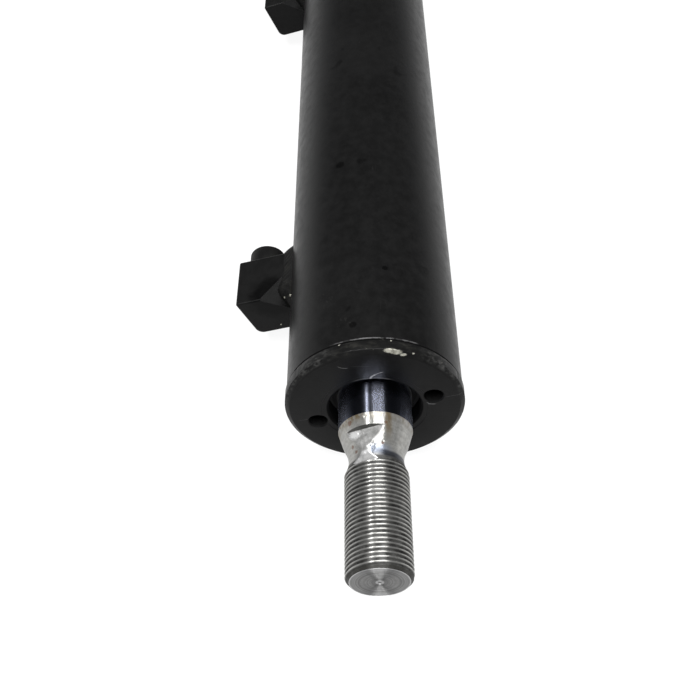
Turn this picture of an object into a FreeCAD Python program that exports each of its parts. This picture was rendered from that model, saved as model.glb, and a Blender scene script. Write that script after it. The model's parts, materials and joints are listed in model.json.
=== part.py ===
import FreeCAD, Part
import math
import os

# Double-acting hydraulic cylinder with a welded base and a screwed-in gland.
# Millimetres. The origin is the centre of the base pin bore. X runs along the
# cylinder to the rod end, Z runs up along the base pin, and the cylinder lies
# on the plane z = -37 with its rod fully in.

# Barrel
BORE_R = 31.5
BARREL_R = 36.5
TUBE_START = 36.0
TUBE_END = 390.7
GLAND_BORE_R = 33.0
GLAND_BORE_START = 358.0
SEAM_CHAMFER = 0.5
WELD_DEPTH = 4.0
WELD_CROWN = 0.4

# Base
CAP_START = 12.0
CAP_NECK_R = 31.5
CAP_NECK_END = 27.5
CAP_INNER_FACE = 53.0
CROSS_TUBE_R = 25.0
CROSS_TUBE_LENGTH = 74.0
BUSH_SEAT_R = 17.5
PIN_BORE_R = 15.0
BUSH_LENGTH = 34.0
SADDLE_BEAD_R = 4.0
GREASE_THREAD_R = 4.0

# Stroke
STROKE = 200.0
STOP_CLEARANCE = 0.5

# Piston and its nut
PISTON_START = 70.5
PISTON_END = 105.5
PISTON_R = 31.2
RING_R = 31.45
WEAR_GROOVE_R = 28.9
SEAL_GROOVE_R = 26.0
NUT_HEIGHT = 16.0
NUT_ACROSS_FLATS = 32.0

# Rod
ROD_R = 15.0
ROD_TAIL = 53.5
SPIGOT_R = 11.0
GLAND_EDGE = 396.0
PLATING_END = GLAND_EDGE + 13.5
CONE_END = GLAND_EDGE + 20.5
CONE_END_R = 12.89
NECK = GLAND_EDGE + 27.7
NECK_R = 10.91
NECK_RADII = ((GLAND_EDGE + 24.0, 11.46), (NECK, NECK_R), (GLAND_EDGE + 31.3, 11.58))
THREAD_START = GLAND_EDGE + 34.4
ROD_END = GLAND_EDGE + 78.1
THREAD_R = 12.7
THREAD_PITCH = 25.4 / 14
END_CHAMFER = 1.5
FLAT_START = GLAND_EDGE + 18.25
FLAT_END = GLAND_EDGE + 34.0
FLAT_DISTANCE = 10.95
FLAT_CLOCK = 24.0

# Gland
FLANGE_R = 37.0
FLANGE_START = TUBE_END
SEAM_GROOVE = 0.8
SEAM_GROOVE_DEPTH = 1.2
FLANGE_END = GLAND_EDGE + 1.5
FACE_R = 35.0
NOSE_START = PISTON_END + STROKE + STOP_CLEARANCE
NOSE_END = 335.0
NOSE_R = 25.0
LAND_R = 31.45
LAND_END = 356.0
GLAND_THREAD_START = 360.0
GLAND_THREAD_END = 384.0
GLAND_THREAD_R = 32.95
ROD_CLEARANCE_R = 15.3
SEAL_FIT_R = 15.05
SPANNER_HOLE_R = 4.0
SPANNER_CIRCLE_R = 25.0
SPANNER_DEPTH = 8.0
SPANNER_CLOCK = 20.0
FACE_STEP_R = 22.0
RECESS_R = 19.05
WIPER_GROOVE_R = 19.8

# Port blocks
ROD_PORT_X = GLAND_EDGE - 76.25
BASE_PORT_X = 66.0
PORT_CLOCK = 106.3
BLOCK_LENGTH = 27.5
BLOCK_WIDTH = 22.2
BLOCK_TOP_HIGH = 62.0
BLOCK_TOP_LOW = 58.5
BLOCK_EDGE_R = 1.0
BLOCK_CORNER_R = 4.0
CUT_ON_TOP_EDGE = 50.5
CUT_DEPTH = 10.0
CUT_SIDE_DROP = 9.0
CUT_FACE_REACH = 7.0
CUT_FACE_DROP = 9.5
WELD_HEIGHT = 42.2
PORT_AXIS_R = 51.8
PORT_THREAD_R = 6.0
PORT_DRILL_R = 5.1
PORT_PASSAGE_R = 4.0
PORT_SEAT_R = 7.3
PORT_SEAT_DEPTH = 2.4
PLUG_HEAD_R = 8.5
PLUG_HEAD_HEIGHT = 11.6
PLUG_SOCKET = 6.0

V = FreeCAD.Vector
ORIGIN = V(0, 0, 0)
X_AXIS = V(1, 0, 0)
Y_AXIS = V(0, 1, 0)
Z_AXIS = V(0, 0, 1)

os.makedirs("parts", exist_ok=True)


def save(name, shape):
    """Write one piece as its own STEP file."""
    shape.exportStep("parts/" + name + ".step")


def turned(profile):
    """Solid turned about the cylinder axis from a closed run of (x, radius) points."""
    points = [V(x, 0, r) for x, r in profile]
    outline = Part.makePolygon(points + points[:1])
    return Part.Face(outline).revolve(ORIGIN, X_AXIS, 360)


def bar(x0, x1, r):
    """Plain round bar on the cylinder axis."""
    return Part.makeCylinder(r, x1 - x0, V(x0, 0, 0), X_AXIS)


def ring(x0, x1, r_in, r_out, chamfer=0.0):
    """Square-section ring with all four edges broken by the same chamfer."""
    if chamfer == 0.0:
        return turned([(x0, r_in), (x1, r_in), (x1, r_out), (x0, r_out)])
    c = chamfer
    return turned([
        (x0 + c, r_in), (x1 - c, r_in), (x1, r_in + c), (x1, r_out - c),
        (x1 - c, r_out), (x0 + c, r_out), (x0, r_out - c), (x0, r_in + c),
    ])


def o_ring(x, r_middle, r_cord):
    """Round-section ring about the cylinder axis."""
    return Part.makeTorus(r_middle, r_cord, V(x, 0, 0), X_AXIS)


def split_ring(x0, x1, r_in, r_out, gap):
    """Wear ring with a slanted cut so it can be sprung into its groove."""
    blade = Part.makeBox(3 * (x1 - x0), gap, 2 * r_out)
    blade.translate(V(-1.5 * (x1 - x0), -gap / 2, 0))
    blade.rotate(ORIGIN, Z_AXIS, 30)
    blade.translate(V((x0 + x1) / 2, 0, 0))
    return ring(x0, x1, r_in, r_out, 0.3).cut(blade)


def hexagon(x0, x1, across_flats):
    """Six-sided prism on the X axis."""
    corner = across_flats / math.sqrt(3)
    points = []
    for i in range(7):
        angle = math.radians(60 * i)
        points.append(V(x0, corner * math.cos(angle), corner * math.sin(angle)))
    return Part.Face(Part.makePolygon(points)).extrude(V(x1 - x0, 0, 0))


def hex_head(x0, x1, across_flats):
    """Hexagon with both ends turned back to the usual thirty-degree bevel."""
    corner = across_flats / math.sqrt(3)
    flat = across_flats / 2 * 0.97
    drop = (corner - flat) * math.tan(math.radians(30))
    bevel = turned([
        (x0, 0), (x1, 0), (x1, flat), (x1 - drop, corner), (x0 + drop, corner), (x0, flat),
    ])
    return hexagon(x0, x1, across_flats).common(bevel)


# ---------------------------------------------------------------- barrel tube

def port_passage(x):
    """Radial drilling from a port down into the bore, in line with the block."""
    drill = Part.makeCylinder(PORT_PASSAGE_R, PORT_AXIS_R - 25, V(x, 0, 25), Z_AXIS)
    drill.rotate(ORIGIN, X_AXIS, PORT_CLOCK)
    return drill


tube = turned([
    (TUBE_START, BORE_R),
    (GLAND_BORE_START, BORE_R),
    (GLAND_BORE_START + 1.5, GLAND_BORE_R),
    (TUBE_END - 0.8, GLAND_BORE_R),
    (TUBE_END, GLAND_BORE_R + 0.8),
    (TUBE_END, BARREL_R - SEAM_CHAMFER),
    (TUBE_END - SEAM_CHAMFER, BARREL_R),
    (TUBE_START + WELD_DEPTH + 0.5, BARREL_R),
    (TUBE_START, BARREL_R - WELD_DEPTH),
])
tube = tube.cut(port_passage(ROD_PORT_X)).cut(port_passage(BASE_PORT_X))
save("barrel_tube", tube)


# ----------------------------------------------------------------- base cap

def saddle_bead():
    """Fillet weld that follows the joint between the cap neck and the cross tube."""
    y_side = math.sqrt(CROSS_TUBE_R ** 2 - CAP_START ** 2)
    z_side = math.sqrt(CAP_NECK_R ** 2 - y_side ** 2)
    pieces = []
    for side in (-1, 1):
        low = V(CAP_START, side * y_side, -z_side)
        pieces.append(Part.makeCylinder(SADDLE_BEAD_R, 2 * z_side, low, Z_AXIS))
        run = []
        for i in range(13):
            y = y_side * (i / 6 - 1)
            x = math.sqrt(CROSS_TUBE_R ** 2 - y ** 2)
            z = side * math.sqrt(CAP_NECK_R ** 2 - y ** 2)
            run.append(V(x, y, z))
        curve = Part.BSplineCurve()
        curve.interpolate(run)
        start = Part.makeCircle(SADDLE_BEAD_R, run[0], curve.tangent(curve.FirstParameter)[0])
        path = Part.Wire(curve.toShape())
        pieces.append(path.makePipeShell([Part.Wire(start)], True, True))
        pieces.append(Part.makeSphere(SADDLE_BEAD_R, run[0]))
        pieces.append(Part.makeSphere(SADDLE_BEAD_R, run[-1]))
    return pieces


cap = turned([
    (CAP_START, 0),
    (CAP_INNER_FACE, 0),
    (CAP_INNER_FACE, BORE_R - 1.5),
    (CAP_INNER_FACE - 1.5, BORE_R - 0.05),
    (TUBE_START, BORE_R - 0.05),
    (TUBE_START, BARREL_R - WELD_DEPTH),
    (TUBE_START + WELD_DEPTH + 0.5, BARREL_R),
    (TUBE_START + WELD_DEPTH - 1.0, BARREL_R + 0.75 * WELD_CROWN),
    (TUBE_START, BARREL_R + WELD_CROWN),
    (TUBE_START - WELD_DEPTH + 1.0, BARREL_R + 0.75 * WELD_CROWN),
    (TUBE_START - WELD_DEPTH, BARREL_R),
    (CAP_NECK_END + 4.0, BARREL_R),
    (CAP_NECK_END, CAP_NECK_R + 1.0),
    (CAP_NECK_END - 0.4, CAP_NECK_R),
    (CAP_START + 1.0, CAP_NECK_R),
    (CAP_START, CAP_NECK_R - 1.0),
])
for piece in saddle_bead():
    cap = cap.fuse(piece)
saddle = Part.makeCylinder(
    CROSS_TUBE_R, CROSS_TUBE_LENGTH + 10, V(0, 0, -CROSS_TUBE_LENGTH / 2 - 5), Z_AXIS
)
cap = cap.cut(saddle).removeSplitter()
save("base_cap", cap)


# ------------------------------------------- cross tube, bushes, grease fitting

def upright(profile):
    """Solid turned about the base pin axis from (z, radius) points."""
    points = [V(r, 0, z) for z, r in profile]
    outline = Part.makePolygon(points + points[:1])
    return Part.Face(outline).revolve(ORIGIN, Z_AXIS, 360)


half_tube = CROSS_TUBE_LENGTH / 2
cross_tube = upright([
    (-half_tube, BUSH_SEAT_R), (half_tube, BUSH_SEAT_R),
    (half_tube, CROSS_TUBE_R - 1.0), (half_tube - 1.0, CROSS_TUBE_R),
    (1.0 - half_tube, CROSS_TUBE_R), (-half_tube, CROSS_TUBE_R - 1.0),
])
grease_tapping = bar(-CROSS_TUBE_R - 1, -CROSS_TUBE_R + 6, GREASE_THREAD_R)
grease_drilling = bar(-CROSS_TUBE_R, -BUSH_SEAT_R + 3, 2.0)
cross_tube = cross_tube.cut(grease_tapping).cut(grease_drilling)
save("cross_tube", cross_tube)

bush_gap = half_tube - BUSH_LENGTH
for name, side in (("base_bush_upper", 1), ("base_bush_lower", -1)):
    bush = upright([
        (side * bush_gap, PIN_BORE_R),
        (side * (half_tube - 0.5), PIN_BORE_R),
        (side * half_tube, PIN_BORE_R + 0.5),
        (side * half_tube, BUSH_SEAT_R - 0.5),
        (side * (half_tube - 0.5), BUSH_SEAT_R),
        (side * bush_gap, BUSH_SEAT_R),
    ])
    save(name, bush)

fitting_face = -CROSS_TUBE_R
fitting = turned([
    (fitting_face + 5.6, 1.0), (fitting_face + 5.6, 3.4), (fitting_face + 5.0, 3.95),
    (fitting_face + 0.5, 3.95), (fitting_face - 4.6, 3.95), (fitting_face - 5.4, 2.9),
    (fitting_face - 7.0, 2.6), (fitting_face - 8.2, 3.3), (fitting_face - 9.6, 3.3),
    (fitting_face - 11.4, 2.2), (fitting_face - 11.4, 1.3), (fitting_face - 10.2, 1.3),
    (fitting_face - 9.9, 1.0),
])
fitting_hex = hex_head(fitting_face - 5.0, fitting_face, 11.0)
fitting = fitting.fuse(fitting_hex.cut(bar(fitting_face - 6, fitting_face + 1, 1.5)))
save("grease_fitting", fitting.removeSplitter())
save("grease_fitting_ball", Part.makeSphere(1.2, V(fitting_face - 10.9, 0, 0)))


# ------------------------------------------------------------ port blocks

def rounded_rectangle(x0, x1, half_width, z, r):
    """Closed outline at height z with rounded corners."""
    sheet = Part.makePlane(x1 - x0, 2 * half_width, V(x0, -half_width, z))
    slab = sheet.extrude(V(0, 0, 1))
    upright_edges = [e for e in slab.Edges if abs(e.Vertexes[0].Z - e.Vertexes[1].Z) > 0.5]
    slab = slab.makeFillet(r, upright_edges)
    lowest = [f for f in slab.Faces if abs(f.CenterOfMass.z - z) < 0.001]
    return lowest[0].OuterWire


def corner_cut():
    """Wedge beyond the oblique plane that clears the block's inner corner for welding."""
    half = BLOCK_LENGTH / 2
    side = BLOCK_WIDTH / 2
    on_top_edge = V(half, side, CUT_ON_TOP_EDGE)
    along_side = V(half - CUT_DEPTH, side, CUT_ON_TOP_EDGE - CUT_SIDE_DROP)
    along_face = V(half, side - CUT_FACE_REACH, CUT_ON_TOP_EDGE - CUT_FACE_DROP)
    u = (along_side - on_top_edge).normalize()
    normal = (along_side - on_top_edge).cross(along_face - on_top_edge).normalize()
    v = normal.cross(u)
    points = [on_top_edge + u * a + v * b for a, b in ((-40, -40), (40, -40), (40, 40), (-40, 40))]
    if normal.z > 0:
        normal = normal * -1
    return Part.Face(Part.makePolygon(points + points[:1])).extrude(normal * 30)


def port_block():
    """Block with its fillet weld, built above x = 0 with its top facing +Z."""
    half = BLOCK_LENGTH / 2
    side = BLOCK_WIDTH / 2
    root = BARREL_R - 2.5
    outline = Part.makePolygon([
        V(-half, -side, root),
        V(-half, -side, BLOCK_TOP_LOW),
        V(-half, side, BLOCK_TOP_HIGH),
        V(-half, side, root),
        V(-half, -side, root),
    ])
    block = Part.Face(outline).extrude(V(BLOCK_LENGTH, 0, 0))
    low_edge = [
        e for e in block.Edges
        if abs(e.CenterOfMass.x) < 0.01 and abs(e.CenterOfMass.z - BLOCK_TOP_LOW) < 0.01
    ]
    block = block.makeFillet(BLOCK_CORNER_R, low_edge)
    edges = [
        e for e in block.Edges
        if e.CenterOfMass.z > root + 0.5 and not (
            abs(e.CenterOfMass.x) < 0.01 and e.CenterOfMass.y < 0
        )
    ]
    block = block.makeFillet(BLOCK_EDGE_R, edges).cut(corner_cut())
    weld = Part.makeLoft([
        rounded_rectangle(-half - 10.5, half + 7.0, 15.5, 30.0, 12.0),
        rounded_rectangle(-half, half - 5.0, 9.0, WELD_HEIGHT, 2.0),
    ], True, True)
    return block.fuse(weld)


def port_bore():
    """Threaded port entering from the base side, with its seat for the plug seal."""
    face = -BLOCK_LENGTH / 2
    bore = turned([
        (face - 1, 0), (face - 1, PORT_SEAT_R), (face + PORT_SEAT_DEPTH, PORT_SEAT_R),
        (face + PORT_SEAT_DEPTH, PORT_THREAD_R), (face + 13, PORT_THREAD_R),
        (face + 13, PORT_DRILL_R), (4, PORT_DRILL_R), (6.5, 0),
    ])
    bore.translate(V(0, 0, PORT_AXIS_R))
    return bore


def port_plug():
    """Round-headed screw plug with a hexagon socket."""
    face = -BLOCK_LENGTH / 2
    top = face - PLUG_HEAD_HEIGHT
    plug = turned([
        (top, 0), (top, PLUG_HEAD_R - 1.0), (top + 1.0, PLUG_HEAD_R),
        (face - 0.4, PLUG_HEAD_R), (face, PLUG_HEAD_R - 0.4), (face, 5.0),
        (face + PORT_SEAT_DEPTH + 0.2, 5.0), (face + PORT_SEAT_DEPTH + 1.0, PORT_THREAD_R - 0.05),
        (face + 11.0, PORT_THREAD_R - 0.05), (face + 12.0, 5.0), (face + 12.0, 0),
    ])
    plug = plug.cut(hexagon(top - 1, top + 6.5, PLUG_SOCKET))
    plug.translate(V(0, 0, PORT_AXIS_R))
    return plug


def at_port(shape, x):
    """Move a piece built above the origin to its station and clock it round the barrel."""
    shape = shape.copy()
    shape.translate(V(x, 0, 0))
    shape.rotate(ORIGIN, X_AXIS, PORT_CLOCK)
    return shape


plug_seal = Part.makeTorus(
    6.15, 1.1, V(-BLOCK_LENGTH / 2 + PORT_SEAT_DEPTH / 2, 0, PORT_AXIS_R), X_AXIS
)
for end, x in (("rod", ROD_PORT_X), ("base", BASE_PORT_X)):
    block = at_port(port_block().cut(port_bore()), x)
    block = block.cut(bar(x - 40, x + 40, BARREL_R)).cut(port_passage(x))
    save(end + "_port_block", block.removeSplitter())
    save(end + "_port_plug", at_port(port_plug(), x))
    save(end + "_port_plug_seal", at_port(plug_seal, x))


# ------------------------------------------------------------------- gland

gland = turned([
    (NOSE_START, ROD_CLEARANCE_R + 1.0),
    (NOSE_START + 1.0, ROD_CLEARANCE_R),
    (FLANGE_END, ROD_CLEARANCE_R),
    (FLANGE_END, FACE_R),
    (GLAND_EDGE, FLANGE_R),
    (FLANGE_START + SEAM_GROOVE, FLANGE_R),
    (FLANGE_START + SEAM_GROOVE, FLANGE_R - SEAM_GROOVE_DEPTH),
    (FLANGE_START, FLANGE_R - SEAM_GROOVE_DEPTH),
    (FLANGE_START, GLAND_THREAD_R - 1.0),
    (GLAND_THREAD_END, GLAND_THREAD_R - 1.0),
    (GLAND_THREAD_END, GLAND_THREAD_R),
    (GLAND_THREAD_START + 1.0, GLAND_THREAD_R),
    (GLAND_THREAD_START, GLAND_THREAD_R - 1.0),
    (GLAND_THREAD_START, LAND_R - 1.0),
    (LAND_END, LAND_R - 1.0),
    (LAND_END - 1.0, LAND_R),
    (NOSE_END + 1.5, LAND_R),
    (NOSE_END, LAND_R - 1.0),
    (NOSE_END, NOSE_R),
    (NOSE_START + 2.0, NOSE_R),
    (NOSE_START, NOSE_R - 2.0),
])
gland_cuts = [
    ring(341.0, 346.0, 28.9, 33.0),
    ring(311.0, 325.0, ROD_CLEARANCE_R - 1, 17.5),
    ring(362.0, 376.0, ROD_CLEARANCE_R - 1, 17.5),
    ring(338.0, 344.0, ROD_CLEARANCE_R - 1, 19.0),
    ring(348.0, 356.0, ROD_CLEARANCE_R - 1, 20.0),
    turned([
        (384.0, ROD_CLEARANCE_R - 1), (384.0, WIPER_GROOVE_R), (389.5, WIPER_GROOVE_R),
        (389.5, RECESS_R), (FLANGE_END - 1.0, RECESS_R), (FLANGE_END - 0.3, RECESS_R + 0.7),
        (FLANGE_END - 0.3, FACE_STEP_R), (FLANGE_END + 1.0, FACE_STEP_R),
        (FLANGE_END + 1.0, ROD_CLEARANCE_R - 1),
    ]),
]
for side in (-1, 1):
    clock = math.radians(SPANNER_CLOCK)
    y = side * SPANNER_CIRCLE_R * math.cos(clock)
    z = side * SPANNER_CIRCLE_R * math.sin(clock)
    hole = Part.makeCylinder(SPANNER_HOLE_R, 20, V(FLANGE_END - SPANNER_DEPTH, y, z), X_AXIS)
    point = Part.makeCone(0, SPANNER_HOLE_R, 2.3, V(FLANGE_END - SPANNER_DEPTH - 2.3, y, z), X_AXIS)
    edge = Part.makeCone(
        SPANNER_HOLE_R, SPANNER_HOLE_R + 0.5, 0.5, V(FLANGE_END - 0.5, y, z), X_AXIS
    )
    gland_cuts += [hole, point, edge]
for cutter in gland_cuts:
    gland = gland.cut(cutter)
save("gland", gland)

save("gland_o_ring", o_ring(342.6, 30.2, 1.25))
save("gland_backup_ring", ring(344.2, 345.8, 28.95, RING_R))
save("rod_wear_ring_rear", split_ring(311.1, 324.9, SEAL_FIT_R, 17.45, 1.5))
save("rod_wear_ring_front", split_ring(362.1, 375.9, SEAL_FIT_R, 17.45, 1.5))
save("rod_buffer_seal", turned([
    (338.2, 15.6), (339.2, SEAL_FIT_R), (341.0, SEAL_FIT_R), (343.8, 15.4),
    (343.8, 18.5), (343.4, 18.95), (338.6, 18.95), (338.2, 18.5),
]))
save("rod_seal", turned([
    (348.3, SEAL_FIT_R + 0.3), (349.0, SEAL_FIT_R), (350.5, SEAL_FIT_R + 0.2), (355.8, 15.6),
    (355.8, 19.5), (355.4, 19.9), (349.6, 19.95), (348.3, 19.5),
    (348.3, 18.9), (351.6, 17.9), (351.6, 17.1), (348.3, 16.2),
]))
save("rod_wiper", turned([
    (384.2, 15.5), (384.2, 19.3), (384.6, 19.7), (389.2, 19.7), (389.2, 17.9),
    (390.6, 15.9), (391.6, 15.5), (391.6, SEAL_FIT_R), (390.8, SEAL_FIT_R), (388.8, 15.5),
]))


# ------------------------------------------------------------- piston and rod

piston = turned([
    (PISTON_START, SPIGOT_R + 0.02), (PISTON_END, SPIGOT_R + 0.02),
    (PISTON_END, PISTON_R - 1.0), (PISTON_END - 1.0, PISTON_R),
    (PISTON_START + 1.0, PISTON_R), (PISTON_START, PISTON_R - 1.0),
])
piston = piston.cut(ring(73.5, 81.5, WEAR_GROOVE_R, 33.0))
piston = piston.cut(ring(94.5, 102.5, WEAR_GROOVE_R, 33.0))
piston = piston.cut(ring(84.5, 91.5, SEAL_GROOVE_R, 33.0))
piston = piston.cut(ring(86.3, 89.7, SPIGOT_R - 1, 13.4))
save("piston", piston)

save("piston_wear_ring_rear", split_ring(73.6, 81.4, WEAR_GROOVE_R + 0.08, RING_R, 1.5))
save("piston_wear_ring_front", split_ring(94.6, 102.4, WEAR_GROOVE_R + 0.08, RING_R, 1.5))
save("piston_seal", ring(84.6, 91.4, 29.2, RING_R, 0.3))
save("piston_seal_energizer", ring(84.7, 91.3, SEAL_GROOVE_R + 0.08, 29.1, 0.8))
save("piston_o_ring", o_ring(88.0, 12.2, 1.15))

nut = hex_head(PISTON_START - NUT_HEIGHT, PISTON_START, NUT_ACROSS_FLATS)
nut = nut.cut(bar(0, PISTON_END, SPIGOT_R + 0.03))
save("piston_nut", nut)


def thread_groove(x0, x1, r_major, pitch):
    """Sixty-degree helical groove on the X axis, open at both ends."""
    r_root = r_major - 0.6134 * pitch
    r_air = r_major + 0.1
    half_root = pitch / 12
    half_air = half_root + (r_air - r_root) * math.tan(math.radians(30))
    tooth = Part.makePolygon([
        V(r_root, 0, -half_root), V(r_air, 0, -half_air), V(r_air, 0, half_air),
        V(r_root, 0, half_root), V(r_root, 0, -half_root),
    ])
    helix = Part.makeHelix(pitch, x1 - x0, r_root)
    groove = Part.Wire(helix).makePipeShell([tooth], True, True)
    groove.rotate(ORIGIN, Y_AXIS, 90)
    groove.translate(V(x0, 0, 0))
    return groove


neck_points = [(CONE_END, CONE_END_R), *NECK_RADII, (THREAD_START, THREAD_R)]
neck_curve = Part.BSplineCurve()
neck_curve.interpolate([V(x, 0, r) for x, r in neck_points])
thread_end_r = THREAD_R - END_CHAMFER
edges = [
    Part.makePolygon([
        V(THREAD_START, 0, THREAD_R), V(ROD_END - END_CHAMFER, 0, THREAD_R),
        V(ROD_END, 0, thread_end_r), V(ROD_END, 0, 0), V(ROD_TAIL, 0, 0),
        V(ROD_TAIL, 0, SPIGOT_R - 1.2), V(ROD_TAIL + 1.2, 0, SPIGOT_R),
        V(PISTON_END, 0, SPIGOT_R), V(PISTON_END, 0, ROD_R - 0.8),
        V(PISTON_END + 0.8, 0, ROD_R), V(PLATING_END, 0, ROD_R), V(CONE_END, 0, CONE_END_R),
    ]),
    neck_curve.toShape(),
]
outline = Part.Wire(Part.__sortEdges__([e for shape in edges for e in shape.Edges]))
rod = Part.Face(outline).revolve(ORIGIN, X_AXIS, 360)

for turn in (0, 180):
    flat = Part.makeBox(FLAT_END - FLAT_START, 40, 10, V(FLAT_START, -20, FLAT_DISTANCE))
    flat.rotate(ORIGIN, X_AXIS, FLAT_CLOCK + turn)
    rod = rod.cut(flat)
centre_mark = Part.makeCone(0, 1.5, 1.2, V(ROD_END - 1.2, 0, 0), X_AXIS)
rod = rod.cut(centre_mark)
rod = rod.cut(thread_groove(NECK + 1.0, ROD_END + 3.0, THREAD_R, THREAD_PITCH))
save("piston_rod", rod)
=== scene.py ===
import json
import math
import random

import bmesh
import bpy
import numpy as np
from mathutils import Matrix, Vector, noise


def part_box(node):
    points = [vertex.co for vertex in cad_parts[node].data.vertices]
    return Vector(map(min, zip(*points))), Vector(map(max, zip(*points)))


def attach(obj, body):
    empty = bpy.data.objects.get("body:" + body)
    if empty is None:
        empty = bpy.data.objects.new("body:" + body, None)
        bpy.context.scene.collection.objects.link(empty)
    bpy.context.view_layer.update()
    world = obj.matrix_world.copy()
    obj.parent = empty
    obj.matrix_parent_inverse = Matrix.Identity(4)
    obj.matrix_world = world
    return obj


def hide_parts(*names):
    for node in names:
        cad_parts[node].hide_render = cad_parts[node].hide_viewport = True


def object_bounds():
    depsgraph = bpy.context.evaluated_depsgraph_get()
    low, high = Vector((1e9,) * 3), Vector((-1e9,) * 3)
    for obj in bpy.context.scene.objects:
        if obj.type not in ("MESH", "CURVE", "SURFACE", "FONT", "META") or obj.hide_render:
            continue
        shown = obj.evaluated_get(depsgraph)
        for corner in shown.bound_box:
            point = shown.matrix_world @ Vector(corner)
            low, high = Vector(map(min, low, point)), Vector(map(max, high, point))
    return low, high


# Hydraulic cylinder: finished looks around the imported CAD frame. Metres, row frame.
# Pieces turned or swept here are drawn in millimetres and scaled by MM.

MM = 0.001
FULL_TURN = 2 * math.pi

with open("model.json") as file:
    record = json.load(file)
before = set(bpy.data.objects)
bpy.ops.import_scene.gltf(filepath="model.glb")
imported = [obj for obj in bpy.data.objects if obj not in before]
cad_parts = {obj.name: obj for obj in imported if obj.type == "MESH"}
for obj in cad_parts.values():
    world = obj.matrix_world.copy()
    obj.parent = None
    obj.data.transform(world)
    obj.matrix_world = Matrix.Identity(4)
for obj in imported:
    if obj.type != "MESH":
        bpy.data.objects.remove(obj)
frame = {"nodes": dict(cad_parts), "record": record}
cad_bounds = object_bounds()
nodes = frame["nodes"]


# ------------------------------------------------------------------ dimensions

BARREL_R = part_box("barrel_tube")[1].y / MM
TUBE_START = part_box("barrel_tube")[0].x / MM
FLANGE_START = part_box("barrel_tube")[1].x / MM
FLANGE_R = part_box("gland")[1].y / MM
FLANGE_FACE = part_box("gland")[1].x / MM
GLAND_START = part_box("gland")[0].x / MM
ROD_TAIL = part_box("piston_rod")[0].x / MM
ROD_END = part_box("piston_rod")[1].x / MM
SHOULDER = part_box("piston")[1].x / MM
CROSS_TUBE_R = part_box("cross_tube")[1].x / MM
FLOOR_Z = cad_bounds[0].z

# Rod and its end
ROD_R = 15.0
SPIGOT_R = 11.0
TAIL_CHAMFER = 1.2
SHOULDER_CHAMFER = 0.8
PLATING_END = FLANGE_FACE + 12.0
CONE_END = PLATING_END + 7.0
CONE_END_R = 12.89
NECK = PLATING_END + 14.2
NECK_R = 10.91
# Rise of the neck's radius at 1 mm from its thinnest place; it grows with the distance squared.
NECK_CURVE = 0.0395
THREAD_R = 12.7
THREAD_PITCH = 25.4 / 14
THREAD_DEPTH = 0.6134 * THREAD_PITCH
THREAD_ROOT_R = THREAD_R - THREAD_DEPTH
END_CHAMFER = 1.5
END_FACE_R = THREAD_R - END_CHAMFER
# Rings of the centre mark, as (radius, depth).
CENTRE_MARK = ((1.6, 0.0), (1.3, 0.03), (0.6, 0.06), (0.0, 0.07))
FLAT_START = PLATING_END + 4.75
FLAT_END = PLATING_END + 20.5
FLAT_DISTANCE = 10.95
FLAT_CLOCK = math.radians(24.0)

# Gland
SPANNER_CIRCLE_R = 25.0
SPANNER_HOLE_R = 4.0
SPANNER_DEPTH = 8.0
SPANNER_POINT = 2.3
SPANNER_CLOCK = math.radians(20.0)
ROD_CLEARANCE_R = 15.3
RECESS_R = 19.05
FACE_STEP_R = 22.0
FACE_STEP = 0.3
FACE_R = 35.0
FACE_CHAMFER = 1.5
SEAM_GROOVE = 0.8
SEAM_GROOVE_DEPTH = 1.2
GLAND_THREAD_START = 360.0
GLAND_THREAD_END = 384.0
GLAND_THREAD_R = 32.95
LAND_END = 356.0
LAND_R = 31.45
NOSE_END = 335.0
NOSE_R = 25.0
# Grooves as (start, end, radius). Those in the bore hold a guide ring, two seals and a guide ring.
O_RING_GROOVE = (341.0, 346.0, 28.9)
WIPER_GROOVE = (384.0, 389.5, 19.8)
BORE_GROOVES = ((311.0, 325.0, 17.5), (338.0, 344.0, 19.0), (348.0, 356.0, 20.0), (362.0, 376.0, 17.5))

# Base cap, port blocks and their welds
CAP_START = 12.0
CAP_NECK_R = 31.5
SADDLE_BEAD_R = 4.35
SADDLE_MIDDLE = Vector((17.0, 0, 0))
PORT_TO_FACE = 77.75
PORT_CLOCK = math.radians(106.3)
PORT_TURN = Matrix.Rotation(PORT_CLOCK, 3, "X")
BLOCK_HALF = 13.75
WELD_TOP = 42.4


def middle_x(box):
    """Middle of a node's box along X, in millimetres."""
    return (box[0].x + box[1].x) / 2 / MM


ROD_PORT_X = FLANGE_FACE - PORT_TO_FACE
PORT_DISTANCE = middle_x(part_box("rod_port_block")) - middle_x(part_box("base_port_block"))
BASE_PORT_X = ROD_PORT_X - PORT_DISTANCE


# ------------------------------------------------------------------ mesh tools

def mesh_piece(name, grid, wrap_rows=False, sharp=32.0):
    """Mesh object from a grid of points in millimetres, with rows joined and columns closed."""
    rows, columns = grid.shape[:2]
    faces = []
    for i in range(rows if wrap_rows else rows - 1):
        for j in range(columns):
            a, b = i * columns, (i + 1) % rows * columns
            k = (j + 1) % columns
            faces.append((a + j, b + j, b + k, a + k))
    return finished(name, grid.reshape(-1, 3) * MM, faces, sharp)


def finished(name, points, faces, sharp=32.0):
    """Linked mesh object, welded where points meet, smooth apart from its sharp edges."""
    mesh = bpy.data.meshes.new(name)
    mesh.from_pydata([tuple(p) for p in points], [], faces)
    piece = bpy.data.objects.new(name, mesh)
    bpy.context.scene.collection.objects.link(piece)
    tidy_mesh(mesh, sharp)
    return piece


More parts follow.
